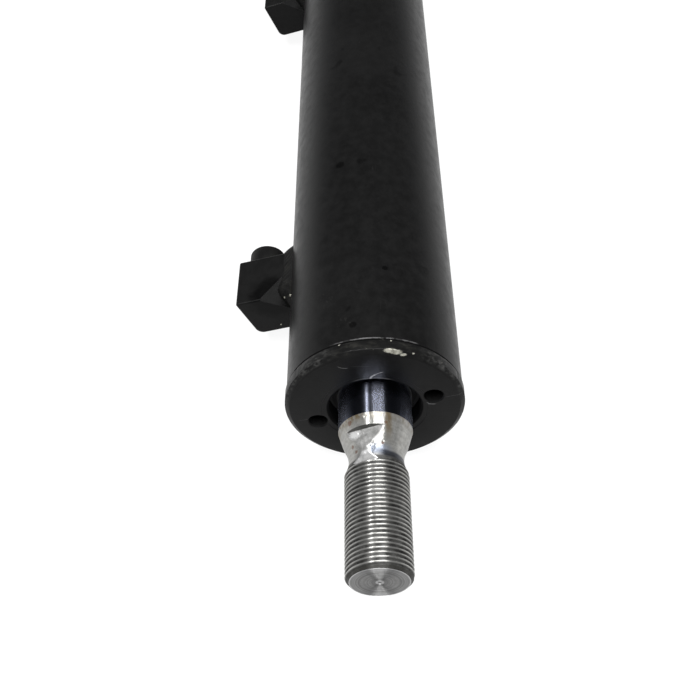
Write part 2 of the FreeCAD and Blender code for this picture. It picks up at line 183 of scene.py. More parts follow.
def tidy_mesh(mesh, sharp):
    """Welds doubled points, turns every face outwards and shades the mesh."""
    work = bmesh.new()
    work.from_mesh(mesh)
    bmesh.ops.remove_doubles(work, verts=work.verts, dist=1e-6)
    bmesh.ops.dissolve_degenerate(work, edges=work.edges, dist=1e-7)
    bmesh.ops.recalc_face_normals(work, faces=work.faces)
    work.to_mesh(mesh)
    work.free()
    mesh.polygons.foreach_set("use_smooth", [True] * len(mesh.polygons))
    mesh.set_sharp_from_angle(angle=math.radians(sharp))


def angles(count):
    """Equal steps round a full turn."""
    return np.arange(count) * FULL_TURN / count


def about_x(along, radius, angle):
    """Points at those radii and angles about the X axis."""
    along, radius, angle = np.broadcast_arrays(along, radius, angle)
    return np.stack([along, radius * np.cos(angle), radius * np.sin(angle)], axis=-1)


def rounded(corners, steps=3):
    """Outline through (along, radius, rounding) corners, each turned by a short curve."""
    outline = []
    for i, (x, r, rounding) in enumerate(corners):
        here = Vector((x, r))
        if rounding == 0:
            outline.append(here)
            continue
        back = Vector(corners[i - 1][:2]) - here
        ahead = Vector(corners[(i + 1) % len(corners)][:2]) - here
        reach = rounding / math.tan(back.angle(ahead) / 2)
        reach = min(reach, 0.45 * back.length, 0.45 * ahead.length)
        start, end = here + back.normalized() * reach, here + ahead.normalized() * reach
        for k in range(steps + 1):
            t = k / steps
            outline.append(start * (1 - t) ** 2 + here * 2 * t * (1 - t) + end * t ** 2)
    return outline


def dents(points, size, depth, seed, share=0.35):
    """How far a worn surface is knocked back at each point, from 0 to depth, in millimetres.

    Only where the noise is above share is anything knocked back.
    """
    offset = Vector((seed, seed * 0.37, -seed))
    knocked = np.empty(len(points))
    for i, p in enumerate(points):
        value = noise.fractal(Vector(p) / size + offset, 0.8, 2.1, 3)
        knocked[i] = max(0.0, value - share) * depth / (1 - share)
    return knocked


def turned(name, corners, columns, wear):
    """Ring turned about the X axis. wear takes (along, radius) and returns a dent depth there."""
    outline = rounded(corners)
    angle = angles(columns)
    along = np.array([p.x for p in outline])[:, None].repeat(columns, 1)
    radius = np.array([p.y for p in outline])[:, None].repeat(columns, 1)
    depth = wear(along, radius)
    worn = depth > 0
    places = about_x(along, radius, angle)[worn]
    radius[worn] -= dents(places, size=2.6, depth=1.0, seed=4.2) * depth[worn]
    return mesh_piece(name, about_x(along, radius, angle), wrap_rows=True)


def cut(piece, cutter):
    """Applies a boolean difference and removes the cutter."""
    step = piece.modifiers.new("cut", "BOOLEAN")
    step.operation, step.solver, step.object = "DIFFERENCE", "EXACT", cutter
    bpy.context.view_layer.update()
    view = piece.evaluated_get(bpy.context.evaluated_depsgraph_get())
    mesh = bpy.data.meshes.new_from_object(view)
    piece.modifiers.remove(step)
    piece.data = mesh
    tidy_mesh(mesh, 32.0)
    bpy.data.objects.remove(cutter)


# ----------------------------------------------------------------- piston rod

# Distance between two rings of points that form a step.
CLOSE = 1e-3


def rod_profile(x):
    """Radius of the turned rod before its thread and flats are cut."""
    r = np.interp(
        x,
        [ROD_TAIL, ROD_TAIL + TAIL_CHAMFER, SHOULDER, SHOULDER + CLOSE,
         SHOULDER + SHOULDER_CHAMFER, PLATING_END, CONE_END, ROD_END - END_CHAMFER, ROD_END],
        [SPIGOT_R - TAIL_CHAMFER, SPIGOT_R, SPIGOT_R, ROD_R - SHOULDER_CHAMFER,
         ROD_R, ROD_R, CONE_END_R, THREAD_R, END_FACE_R],
    )
    neck = np.minimum(NECK_R + NECK_CURVE * (x - NECK) ** 2, THREAD_R)
    neck = np.where(x < CONE_END, 1e3, neck)
    after_cone = (x > CONE_END) & (x < ROD_END - END_CHAMFER)
    return np.where(after_cone, neck, r)


def thread_radius(x, angle):
    """Radius of the helical thread: a sixty-degree groove, softened with a wave for its wear."""
    turn = np.arctan2(np.cos(angle), -np.sin(angle)) / FULL_TURN
    phase = (x - NECK - 1.0) / THREAD_PITCH - turn
    off = np.abs(phase - np.round(phase)) * THREAD_PITCH
    straight = THREAD_ROOT_R + np.maximum(0.0, off - THREAD_PITCH / 12) * math.sqrt(3)
    straight = np.minimum(straight, THREAD_R)
    wave = THREAD_R - THREAD_DEPTH * np.cos(math.pi * off / THREAD_PITCH) ** 2
    return 0.4 * straight + 0.6 * wave


def rod_stations():
    """Where along the rod its rings of points lie."""
    shank = np.arange(SHOULDER + SHOULDER_CHAMFER, PLATING_END - 0.1, 20.0)
    cone = np.arange(PLATING_END, CONE_END, 0.35)
    neck = np.arange(CONE_END, NECK + 1.0, 0.25)
    thread = np.arange(NECK + 1.0, ROD_END - END_CHAMFER, THREAD_PITCH / 13)
    chamfer = np.arange(ROD_END - END_CHAMFER, ROD_END + 0.01, 0.125)
    walls = [FLAT_START - CLOSE, FLAT_START + CLOSE, FLAT_END - CLOSE, FLAT_END + CLOSE]
    ends = [ROD_TAIL, ROD_TAIL + TAIL_CHAMFER, SHOULDER, SHOULDER + CLOSE, PLATING_END - 0.1]
    return np.unique(np.concatenate([ends, shank, cone, neck, thread, chamfer, walls]))


def piston_rod():
    """Rod in one piece: spigot, shank, cone with its flats, neck, thread and centre mark."""
    columns = 216
    x, angle = np.broadcast_arrays(rod_stations()[:, None], angles(columns))
    radius = rod_profile(x)
    threaded = x > NECK + 0.2
    radius = np.where(threaded, np.minimum(radius, thread_radius(x, angle)), radius)
    facing = np.abs(np.cos(angle - FLAT_CLOCK - math.pi / 2))
    flat = FLAT_DISTANCE / np.maximum(facing, 0.2)
    in_flat = (x > FLAT_START) & (x < FLAT_END)
    radius = np.where(in_flat, np.minimum(radius, flat), radius)

    worn = x > PLATING_END + 0.5
    places = about_x(x, radius, angle)[worn]
    knocked = dents(places, size=1.9, depth=0.16, seed=7.3, share=0.3)
    radius[worn] -= knocked * np.interp(x[worn], [NECK, NECK + 4], [1.0, 0.25])

    rings = [(share, 0.0) for share in (0.985, 0.8, 0.6, 0.4, 0.2)]
    rings += [(r / END_FACE_R, depth) for r, depth in CENTRE_MARK]
    share, depth = np.array(rings).T[:, :, None]
    end_face = about_x(ROD_END - depth, radius[-1] * share, angle[0])
    tail = np.tile([ROD_TAIL, 0.0, 0.0], (1, columns, 1))
    grid = np.concatenate([tail, about_x(x, radius, angle), end_face], axis=0)
    piece = mesh_piece("piston_rod_finished", grid, sharp=38.0)
    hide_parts("piston_rod")
    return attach(piece, "rod")


# ---------------------------------------------------------------------- gland

def gland_corners():
    """Outline of the gland as (along, radius, rounding), from its nose round to its nose again."""
    face, start, bore = FLANGE_FACE, GLAND_START, ROD_CLEARANCE_R
    corners = [(start, bore + 1.0, 0), (start + 1.0, bore, 0)]
    for near, far, r in BORE_GROOVES:
        corners += [(near, bore, 0), (near, r, 0), (far, r, 0), (far, bore, 0)]
    near, far, r = WIPER_GROOVE
    corners += [
        (near, bore, 0), (near, r, 0), (far, r, 0), (far, RECESS_R, 0.1),
        (face - 1.0, RECESS_R, 0.5), (face - FACE_STEP, RECESS_R + 0.7, 0.2),
        (face - FACE_STEP, FACE_STEP_R - 0.1, 0.12), (face, FACE_STEP_R + 0.1, 0.12),
        (face, FACE_R, 0.5), (face - FACE_CHAMFER, FLANGE_R, 0.45),
    ]
    seam_end, seam_r = FLANGE_START + SEAM_GROOVE, FLANGE_R - SEAM_GROOVE_DEPTH
    corners += [(seam_end, FLANGE_R, 0.2), (seam_end, seam_r, 0), (FLANGE_START, seam_r, 0)]
    root = GLAND_THREAD_R - 1.0
    corners += [
        (FLANGE_START, root, 0), (GLAND_THREAD_END, root, 0),
        (GLAND_THREAD_END, GLAND_THREAD_R, 0.2), (GLAND_THREAD_START + 1.0, GLAND_THREAD_R, 0),
        (GLAND_THREAD_START, root, 0), (GLAND_THREAD_START, LAND_R - 1.0, 0),
        (LAND_END, LAND_R - 1.0, 0), (LAND_END - 1.0, LAND_R, 0),
    ]
    near, far, r = O_RING_GROOVE
    return corners + [
        (far, LAND_R, 0), (far, r, 0), (near, r, 0), (near, LAND_R, 0),
        (NOSE_END + 1.5, LAND_R, 0), (NOSE_END, LAND_R - 1.0, 0), (NOSE_END, NOSE_R, 0),
        (start + 2.0, NOSE_R, 0), (start, NOSE_R - 2.0, 0),
    ]


def spanner_drill(side):
    """Pointed cutter for one pin-spanner hole, with the mouth's chamfer."""
    bottom = FLANGE_FACE - SPANNER_DEPTH
    profile = np.array([
        (FLANGE_FACE + 1.0, 0.0), (FLANGE_FACE + 1.0, SPANNER_HOLE_R + 1.45),
        (FLANGE_FACE - 0.45, SPANNER_HOLE_R), (bottom, SPANNER_HOLE_R), (bottom - SPANNER_POINT, 0.0),
    ])
    along, radius = profile.T[:, :, None]
    y = side * SPANNER_CIRCLE_R * math.cos(SPANNER_CLOCK)
    z = side * SPANNER_CIRCLE_R * math.sin(SPANNER_CLOCK)
    return mesh_piece("drill", about_x(along, radius, angles(48)) + np.array([0, y, z]))


def gland():
    """Screwed-in gland with its seal grooves, worn rim and two spanner holes."""
    def wear(along, radius):
        rim = (along > FLANGE_START - 0.1) & (radius > FACE_R - 1.0)
        return np.where(rim, 0.34, 0.0)

    piece = turned("gland_finished", gland_corners(), 288, wear)
    for side in (-1, 1):
        cut(piece, spanner_drill(side))
    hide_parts("gland")
    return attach(piece, "barrel")


# ---------------------------------------------------------------------- welds

def ripple(run, across, pitch, seed):
    """Stacked crescents of a weld pass: 0 in the hollows and 1 on the crests."""
    drift = 0.35 * noise.noise(Vector((run / (pitch * 2.3), seed, across)))
    phase = run / pitch + 0.55 * (1 - 4 * (across - 0.5) ** 2) + drift
    part = phase - math.floor(phase)
    return (part ** 0.6) * (1 - part) ** 0.25


def swept_bead(name, path, middle, radius, pitch, seed):
    """Round rippled bead along a closed path."""
    count, around = len(path), 28
    grid = np.empty((count, around, 3))
    run = 0.0
    for i, point in enumerate(path):
        ahead = (path[(i + 1) % count] - path[i - 1]).normalized()
        out = point - middle
        out = (out - ahead * out.dot(ahead)).normalized()
        side = ahead.cross(out)
        run += (point - path[i - 1]).length
        for j in range(around):
            angle = FULL_TURN * j / around
            across = 0.5 + 0.5 * math.sin(angle)
            r = radius * (0.93 + 0.07 * ripple(run, across, pitch, seed))
            r *= 1 + 0.03 * noise.noise(point / 5 + Vector((seed, angle, 0)))
            grid[i, j] = point + (out * math.cos(angle) + side * math.sin(angle)) * r
    return mesh_piece(name, grid, wrap_rows=True, sharp=60.0)


def saddle_weld():
    """Weld between the base cap's neck and the cross tube."""
    y_side = math.sqrt(CROSS_TUBE_R ** 2 - CAP_START ** 2)
    z_side = math.sqrt(CAP_NECK_R ** 2 - y_side ** 2)
    path, curved, straight = [], 170, 120
    for side in (1, -1):
        for i in range(curved):
            y = -side * y_side * math.cos(math.pi * i / curved)
            x = math.sqrt(CROSS_TUBE_R ** 2 - y ** 2)
            path.append(Vector((x, y, side * math.sqrt(CAP_NECK_R ** 2 - y ** 2))))
        for i in range(straight):
            z = side * z_side * (1 - 2 * i / straight)
            path.append(Vector((CAP_START, side * y_side, z)))
    return swept_bead(
        "base_saddle_weld", path, SADDLE_MIDDLE, SADDLE_BEAD_R, pitch=2.1, seed=3.0
    )


def seam_weld():
    """Ring weld that closes the tube onto the base cap."""
    columns, rows, half = 720, 17, 4.6
    grid = np.empty((rows, columns, 3))
    for j in range(columns):
        angle = FULL_TURN * j / columns
        for i in range(rows):
            across = i / (rows - 1)
            crown = math.sin(math.pi * across) ** 0.7
            wander = 0.25 * noise.noise(Vector((math.cos(angle), math.sin(angle), 0.3)) * 4)
            rise = 0.40 * ripple(angle * BARREL_R, across, pitch=2.3, seed=8.0)
            r = BARREL_R - 0.25 + crown * (0.33 + rise)
            x = TUBE_START + half * (2 * across - 1) + wander
            grid[i, j] = (x, r * math.cos(angle), r * math.sin(angle))
    return mesh_piece("tube_seam_weld", grid, sharp=60.0)


def port_weld(name, x_port):
    """Fillet weld around the foot of a port block, from its sides down to the barrel."""
    # Both ends of the fillet as (back, front, half width, height, corner radius).
    top = (-BLOCK_HALF, BLOCK_HALF - 5.0, 9.0, WELD_TOP, 2.0)
    foot = (-BLOCK_HALF - 10.5, BLOCK_HALF + 7.0, 15.5, 30.0, 12.0)
    fall = WELD_TOP - foot[3]
    rows, columns = 13, 520
    grid = np.empty((rows, columns, 3))
    run = 0.0
    last = None
    for j in range(columns):
        for i in range(rows):
            across = i / (rows - 1)
            # The barrel's height under a point depends on how far out it lies, so both are
            # worked out together in a few rounds.
            ground = BARREL_R - 0.5
            for _ in range(4):
                drop = (WELD_TOP - ground) / fall * across
                x, y, out = loop_point(top, foot, drop, j / columns)
                ground = math.sqrt(max(BARREL_R ** 2 - y ** 2, 0)) - 0.3
            place = Vector((x, y, WELD_TOP - (WELD_TOP - ground) * across))
            if i == rows // 2:
                run += (place - last).length if last is not None else 0.0
                last = place
            bulge = math.sin(math.pi * across)
            lift = bulge * (0.20 + 0.30 * ripple(run, across, pitch=2.4, seed=x_port))
            uneven = 0.35 * bulge * noise.noise(place / 6)
            slope = Vector((out.x, out.y, 1.0)).normalized()
            grid[i, j] = place + slope * (lift + uneven)
    grid = grid @ np.array(PORT_TURN).T + np.array([x_port, 0, 0])
    return mesh_piece(name, grid, sharp=60.0)


def loop_point(top, foot, drop, share):
    """Place and outward direction on the rounded rectangle that is drop of the way down."""
    x0, x1, y, _, r = (a + (b - a) * drop for a, b in zip(top, foot))
    long, wide = x1 - x0 - 2 * r, 2 * y - 2 * r
    length = 2 * (long + wide) + FULL_TURN * r
    at = share * length
    legs = (
        (long, Vector((x0 + r, -y, 0)), Vector((1, 0, 0)), -90),
        (wide, Vector((x1, -y + r, 0)), Vector((0, 1, 0)), 0),
        (long, Vector((x1 - r, y, 0)), Vector((-1, 0, 0)), 90),
        (wide, Vector((x0, y - r, 0)), Vector((0, -1, 0)), 180),
    )
    for leg, start, way, facing in legs:
        out = Vector((math.cos(math.radians(facing)), math.sin(math.radians(facing)), 0))
        if at <= leg:
            p = start + way * at
            return p.x, p.y, out
        at -= leg
        if at <= r * math.pi / 2:
            centre = start + way * leg - out * r
            angle = math.radians(facing) + at / r
            out = Vector((math.cos(angle), math.sin(angle), 0))
            p = centre + out * r
            return p.x, p.y, out
        at -= r * math.pi / 2
    return x0 + r, -y, Vector((0, -1, 0))


# Frozen drops beside the rod port, as (along, across, out from the axis), facing and size.
BRIGHT_DROPS = (
    ((12.1, 7.8, 39.2), (0.67, 0.30, 0.68), 0.45),
    ((13.8, 10.2, 35.5), (0.60, 0.50, 0.62), 0.62),
    ((13.75, -7.6, 46.2), (1.0, 0.0, 0.0), 0.42),
)


def drop_places(x_port, drops):
    """Drops given in a port block's own frame, moved to the block."""
    block = Vector((x_port, 0, 0))
    return [
        (PORT_TURN @ Vector(place) + block, (PORT_TURN @ Vector(facing)).normalized(), size)
        for place, facing, size in drops
    ]


def spatter(name, places, seed):
    """Small frozen drops of weld metal, squashed onto the surface, joined in one mesh."""
    chance = random.Random(seed)
    points, faces = [], []
    rings, around = 5, 10
    for place, normal, size in places:
        side = normal.orthogonal().normalized()
        up = normal.cross(side)
        first = len(points)
        stretch = 1 + 0.5 * chance.random()
        for i in range(rings + 1):
            lift = math.sin(math.pi / 2 * i / rings)
            out = math.cos(math.pi / 2 * i / rings)
            for j in range(around):
                a = FULL_TURN * j / around
                r = size * out * (1 + 0.18 * chance.random())
                p = place + normal * (size * (0.8 * lift - 0.25))
                points.append(p + side * (r * stretch * math.cos(a)) + up * (r * math.sin(a)))
        for i in range(rings):
            for j in range(around):
                k = (j + 1) % around
                a, b = first + i * around, first + (i + 1) * around
                faces.append((a + j, a + k, b + k, b + j))
    return finished(name, [p * MM for p in points], faces, 60.0)


# ------------------------------------------------------------------ materials

class Shader:
    """A Principled material, with short calls for the nodes that its maps are made of."""

    def __init__(self, name):
        self.material = bpy.data.materials.new(name)
        self.material.use_nodes = True
        self.nodes = self.material.node_tree.nodes
        self.links = self.material.node_tree.links
        self.bsdf = self.nodes["Principled BSDF"]
        self.place = self.nodes.new("ShaderNodeTexCoord").outputs["Object"]
        split = self.new("ShaderNodeSeparateXYZ", self.place)
        self.x, self.y, self.z = split.outputs
        self.radius = self.measure("LENGTH", self.joined(0.0, self.y, self.z))

    def new(self, kind, *inputs, **settings):
        node = self.nodes.new(kind)
        for key, value in settings.items():
            setattr(node, key, value)
        for socket, value in zip(node.inputs, inputs):
            self.feed(socket, value)
        return node

    def feed(self, socket, value):
        """Links a socket or sets a number, and leaves the input as it is for None."""
        if isinstance(value, bpy.types.NodeSocket):
            self.links.new(value, socket)
        elif value is not None:
            socket.default_value = value

    def maths(self, operation, *values, clamp=False):
        return self.new("ShaderNodeMath", *values, operation=operation, use_clamp=clamp).outputs[0]

    def joined(self, x, y, z):
        return self.new("ShaderNodeCombineXYZ", x, y, z).outputs[0]

    def vector(self, operation, *values):
        return self.new("ShaderNodeVectorMath", *values, operation=operation).outputs["Vector"]

    def measure(self, operation, *values):
        """Vector maths that gives one number."""
        return self.new("ShaderNodeVectorMath", *values, operation=operation).outputs["Value"]

    def times(self, a, b):
        return self.maths("MULTIPLY", a, b)

    def without(self, mask, hole):
        """mask where hole isn't."""
        return self.times(mask, self.maths("SUBTRACT", 1.0, hole))

    def most(self, a, b):
        return self.maths("MAXIMUM", a, b)

    def add(self, a, share, b):
        """a times share, plus b."""
        return self.maths("MULTIPLY_ADD", a, share, b)

    def summed(self, value, *terms):
        """value plus terms, each as (mask, share)."""
        for mask, share in terms:
            value = self.add(mask, share, value)
        return value

    def between(self, value, low, high):
        """Smooth step from 0 to 1 as value goes from low to high, which are in millimetres."""
        return self.ramp(value, low * MM, high * MM)

    def off(self, value, middle):
        """How far value lies from middle, which is in millimetres."""
        return self.maths("ABSOLUTE", self.maths("SUBTRACT", value, middle * MM))

    def ramp(self, value, low, high, out_low=0.0, out_high=1.0):
        """Smooth step of value from low to high, onto out_low to out_high."""
        return self.new(
            "ShaderNodeMapRange", value, low, high, out_low, out_high,
            interpolation_type="SMOOTHSTEP",
        ).outputs[0]

    def blend(self, factor, a, b):
        """Colour that goes from a to b with factor."""
        node = self.nodes.new("ShaderNodeMix")
        node.data_type = "RGBA"
        self.feed(node.inputs[0], factor)
        self.feed(node.inputs[6], a)
        self.feed(node.inputs[7], b)
        return node.outputs[2]

    def layered(self, color, *layers):
        """Colour with layers laid over it in turn, each as (mask, strength, colour)."""
        for mask, strength, top in layers:
            color = self.blend(mask if strength == 1 else self.times(mask, strength), color, top)
        return color

    def stretched(self, stretch):
        return self.vector("MULTIPLY", self.place, stretch)

    def rings(self):
        """Place for noise that doesn't change round the X axis, like the marks of a lathe."""
        return self.joined(self.x, self.radius, 0.0)

    def noise(self, size, detail=3.0, rough=0.5, stretch=(1, 1, 1), where=None):
        """Fractal noise with features about size millimetres across."""
        node = self.nodes.new("ShaderNodeTexNoise")
        self.feed(node.inputs["Vector"], where or self.stretched(stretch))
        self.feed(node.inputs["Scale"], 1 / (size * MM))
        self.feed(node.inputs["Detail"], detail)
        self.feed(node.inputs["Roughness"], rough)
        return node.outputs[0]

    def cracks(self, size, stretch, width, shift=0.0):
        """Thin straight lines, for scratches: 1 on a line and 0 off it."""
        node = self.nodes.new("ShaderNodeTexVoronoi")
        node.feature = "DISTANCE_TO_EDGE"
        where = self.vector("ADD", self.stretched(stretch), (shift, -shift, shift))
        self.feed(node.inputs["Vector"], where)
        self.feed(node.inputs["Scale"], 1 / (size * MM))
        return self.ramp(node.outputs[0], width, 0.0)

    def edges(self, radius):
        """1 on edges sharper than radius, fading to 0 on smooth faces."""
        soft = self.nodes.new("ShaderNodeBevel")
        soft.samples = 6
        self.feed(soft.inputs["Radius"], radius * MM)
        face = self.nodes.new("ShaderNodeNewGeometry").outputs["Normal"]
        return self.ramp(self.measure("DOT_PRODUCT", soft.outputs[0], face), 0.988, 0.65)

    def spot(self, place, size, ragged=0.5, stretch=(1, 1, 1)):
        """Ragged patch around a place in millimetres: 1 inside and 0 outside."""
        away = self.vector("SUBTRACT", self.place, tuple(c * MM for c in place))
        away = self.vector("MULTIPLY", away, stretch)
        near = self.maths("DIVIDE", self.measure("LENGTH", away), size * MM)
        torn = self.times(self.noise(size * 0.45, 5.0, 0.7), 2 * ragged)
        return self.ramp(self.maths("ADD", near, torn), 1.0 + ragged + 0.25, 1.0 + ragged - 0.25)

    def arc(self, middle, radius, place, reach, width, share):
        """Thin curved mark of that radius about middle, fading out reach away from place."""
        def away(point):
            return self.measure("DISTANCE", self.place, tuple(c * MM for c in point))

        line = self.between(self.off(away(middle), radius), width, width * 0.4)
        near = self.between(away(place), reach, reach * 0.5)
        return self.times(self.times(line, near), share)

    def bump(self, height, strength, distance):
        node = self.nodes.new("ShaderNodeBump")
        self.feed(node.inputs["Height"], height)
        self.feed(node.inputs["Strength"], strength)
        self.feed(node.inputs["Distance"], distance * MM)
        return node.outputs[0]

    def finish(self, color, rough, metallic, normal=None, **fixed):
        """Connects the maps, sets the constant values and returns the material."""
        self.feed(self.bsdf.inputs["Base Color"], color)
        self.feed(self.bsdf.inputs["Roughness"], rough)
        self.feed(self.bsdf.inputs["Metallic"], metallic)
        self.feed(self.bsdf.inputs["Normal"], normal)
        for key, value in fixed.items():
            self.bsdf.inputs[key.replace("_", " ")].default_value = value
        return self.material


PAINT_GLOSS = 0.06
# Radiance of the floor below the part, where floor and sky meet, and overhead.
FLOOR_GLOW = 0.93
HORIZON_GLOW = 0.55
ZENITH_GLOW = 0.015
WHITE = (1.0, 1.0, 1.0, 1.0)
ZENITH_BLUE = (0.55, 0.72, 1.0, 1.0)

# Places of marks are in millimetres. Their first number runs along the cylinder: from the flange's
# face for marks on the paint, and from the end of the plating for marks on the rod.
# Paint chips as (centre, size, stretch).
CHIPS = (
    ((-1.2, 5.2, 36.1), 0.75, (1.0, 0.30, 0.8)),
    ((-0.9, 7.6, 35.5), 0.80, (1.0, 0.36, 0.9)),
    ((-0.5, 10.4, 34.4), 0.50, (1.0, 0.34, 0.9)),
    ((-5.9, -14.4, 34.1), 0.45, (1.0, 1.0, 1.0)),
    ((-5.8, 5.6, 36.6), 0.35, (1.0, 1.0, 1.0)),
    ((-1.2, 14.2, 34.2), 0.45, (1.0, 0.8, 1.0)),
)
# Scratches, and painted highlights along the lips of the bore and of a spanner hole (the third and the
# fifth), as (centre of the curve, its radius, middle of the mark, reach, width, strength).
SCRATCHES_AND_LIP_HIGHLIGHTS = (
    ((0.0, 4.4, 17.6), 7.05, (0.0, -1.6, 21.4), 2.6, 0.60, 1.0),
    ((0.0, 4.4, 17.6), 6.95, (0.0, 0.6, 23.4), 3.0, 0.22, 0.9),
    ((-0.3, 0.0, 0.0), 20.3, (-0.3, -1.6, 20.2), 10.5, 0.34, 0.45),
    ((0.0, -12.2, 31.0), 4.2, (0.0, -13.2, 27.0), 2.8, 0.18, 0.6),
    ((0.0, 23.5, 8.55), 5.3, (0.0, 22.8, 3.3), 2.6, 0.30, 0.65),
    ((0.0, 60.0, -90.0), 103.0, (0.0, 31.5, 9.2), 4.5, 0.12, 0.4),
    ((0.0, -60.0, 90.0), 102.2, (0.0, -29.0, -6.8), 4.0, 0.12, 0.4),
    ((0.0, 20.0, 70.0), 62.0, (0.0, 8.0, 9.0), 6.0, 0.10, 0.25),
    ((0.0, -8.0, -60.0), 88.0, (0.0, -6.0, 28.2), 5.0, 0.10, 0.35),
)
# Soft black blots on the barrel, and patches of pale specks on it, as (centre, size). The last, large
# blot is painted shade on the rod port block's facet beside its weld.
BLOTS_AND_BLOCK_SHADE = (
    ((-114.1, -14.1, 33.6), 2.1),
    ((-123.5, 28.6, 22.7), 1.3),
    ((-45.1, 4.4, 36.2), 1.2),
    ((-15.0, -9.0, 35.3), 1.5),
    ((-66.5, -45.5, -4.5), 10.0),
)
SPECKS = (
    ((-32.8, -20.2, 30.4), 4.5),
    ((-17.3, -12.1, 34.4), 3.5),
)
# Rust freckles on the rod's cone, as (centre, size), and the painted highlight on a flat.
RUST = (
    ((11.0, -9.2, 6.4), 0.8),
    ((13.9, -7.9, 7.5), 0.7),
    ((11.9, 2.2, 10.9), 0.6),
    ((2.0, -10.4, 9.8), 1.0),
    ((3.9, 3.6, 13.2), 0.6),
)
PAINTED_FLAT_HIGHLIGHT = (6.3, -8.2, 8.2)


def moved(start, place):
    """Place whose first number is counted from start."""
    return (start + place[0],) + place[1:]


def grey(level, warmth=0.0):
    """Grey that turns brown with warmth."""
    return (level, level * (1 - 0.2 * warmth), level * (1 - 1.4 * warmth), 1.0)


def lighter(color, share):
    """Colour times share, with no channel past 1."""
    return tuple(min(1.0, c * share) for c in color[:3]) + (1.0,)


def enamel(s, mottle):
    """Colour of the sound paint: broad patches, mottling and darker spots, the last listed place being
    painted shade on the rod port block's facet.
    """
    patches = s.ramp(s.noise(60, 2.0), 0.35, 0.7)
    blots_and_block_shade = s.times(s.ramp(s.noise(9.0, 2.0, 0.4), 0.30, 0.24), 0.5)
    # The last place is painted shade on the rod port block's facet.
    for place, size in BLOTS_AND_BLOCK_SHADE:
        spot = s.spot(moved(FLANGE_FACE, place), size, 0.35)
        blots_and_block_shade = s.most(blots_and_block_shade, s.times(spot, 0.85))
    return s.layered(
        s.blend(patches, grey(0.0036), grey(0.0052)),
        (mottle, 0.5, grey(0.0078)),
        (blots_and_block_shade, 1, grey(0.0012)),
    )


def paint_dust(s):
    """Grains of dust, and the two patches of pale specks."""
    dust = s.ramp(s.noise(0.5, 2.0, 0.6), 0.68, 0.80)
    dust = s.times(dust, s.ramp(s.noise(22, 3.0), 0.50, 0.72))
    for place, size in SPECKS:
        speck = s.ramp(s.noise(0.9, 3.0, 0.7), 0.58, 0.76, 0.0, 0.5)
        dust = s.most(dust, s.times(speck, s.spot(moved(FLANGE_FACE, place), size, 0.6)))
    return dust


def scratches_and_lip_highlights(s):
    """Faint hairlines all over, and the marks on the flange's face: scratches, and painted highlights
    along the lips of the bore and of a spanner hole.
    """
    lines = s.cracks(26, (0.16, 1.0, 0.6), 0.005)
    lines = s.most(lines, s.cracks(19, (1.0, 0.3, 0.12), 0.004, 0.4))
    lines = s.times(lines, s.ramp(s.noise(14, 3.0), 0.56, 0.70, 0.0, 0.13))
    for middle, radius, place, reach, width, share in SCRATCHES_AND_LIP_HIGHLIGHTS:
        middle, place = moved(FLANGE_FACE, middle), moved(FLANGE_FACE, place)
        lines = s.most(lines, s.arc(middle, radius, place, reach, width, share))
    return lines


def rim_wear(s, rim):
    """Grey smudge on top of the flange's rim, and the rubbed paint to its left and right."""
    smudge = s.times(rim, s.between(s.z, 26, 35))
    smudge = s.times(smudge, s.ramp(s.noise(3.4, 5.0, 0.7, (1.6, 0.5, 1)), 0.46, 0.70))
    rubbed = s.times(rim, s.between(s.maths("ABSOLUTE", s.y), 14, 26))
    rubbed = s.times(rubbed, s.ramp(s.noise(1.6, 5.0, 0.75, (1.4, 0.6, 0.6)), 0.44, 0.68))
    return smudge, rubbed


def painted_seam_highlight(s):
    """Painted highlight: a pale line on top of the tube's edge, beside the seam groove."""
    line = s.between(s.off(s.x, FLANGE_START - 0.55), 0.40, 0.15)
    line = s.times(line, s.between(s.z, 31, 35))
    return s.times(line, s.ramp(s.noise(4.0, 3.0, 0.6), 0.35, 0.62))


def groove_line_and_recess_shade(s):
    """Dark line in the seam groove, and painted shade darkening the gland's recess."""
    groove = s.between(s.off(s.x, FLANGE_START + 0.35), 0.80, 0.60)
    recess = s.times(
        s.between(s.x, FLANGE_FACE - 0.15, FLANGE_FACE - 0.4),
        s.between(s.radius, RECESS_R + 1.05, RECESS_R + 0.75),
    )
    return s.most(groove, recess)


def bare_spots(s, edge, rim):
    """Where the paint is gone: worn edges, flecks on the rim, and the chips."""
    worn = s.times(edge, s.ramp(s.noise(3.2, 5.0, 0.7, (1, 0.5, 1)), 0.58, 0.70))
    flecks = s.times(rim, s.ramp(s.noise(0.9, 2.0, 0.5), 0.73, 0.78))
    chips = s.times(flecks, 0.6)
    for place, size, stretch in CHIPS:
        chips = s.most(chips, s.spot(moved(FLANGE_FACE, place), size, 0.45, stretch))
    return s.most(s.times(worn, 0.6), chips)


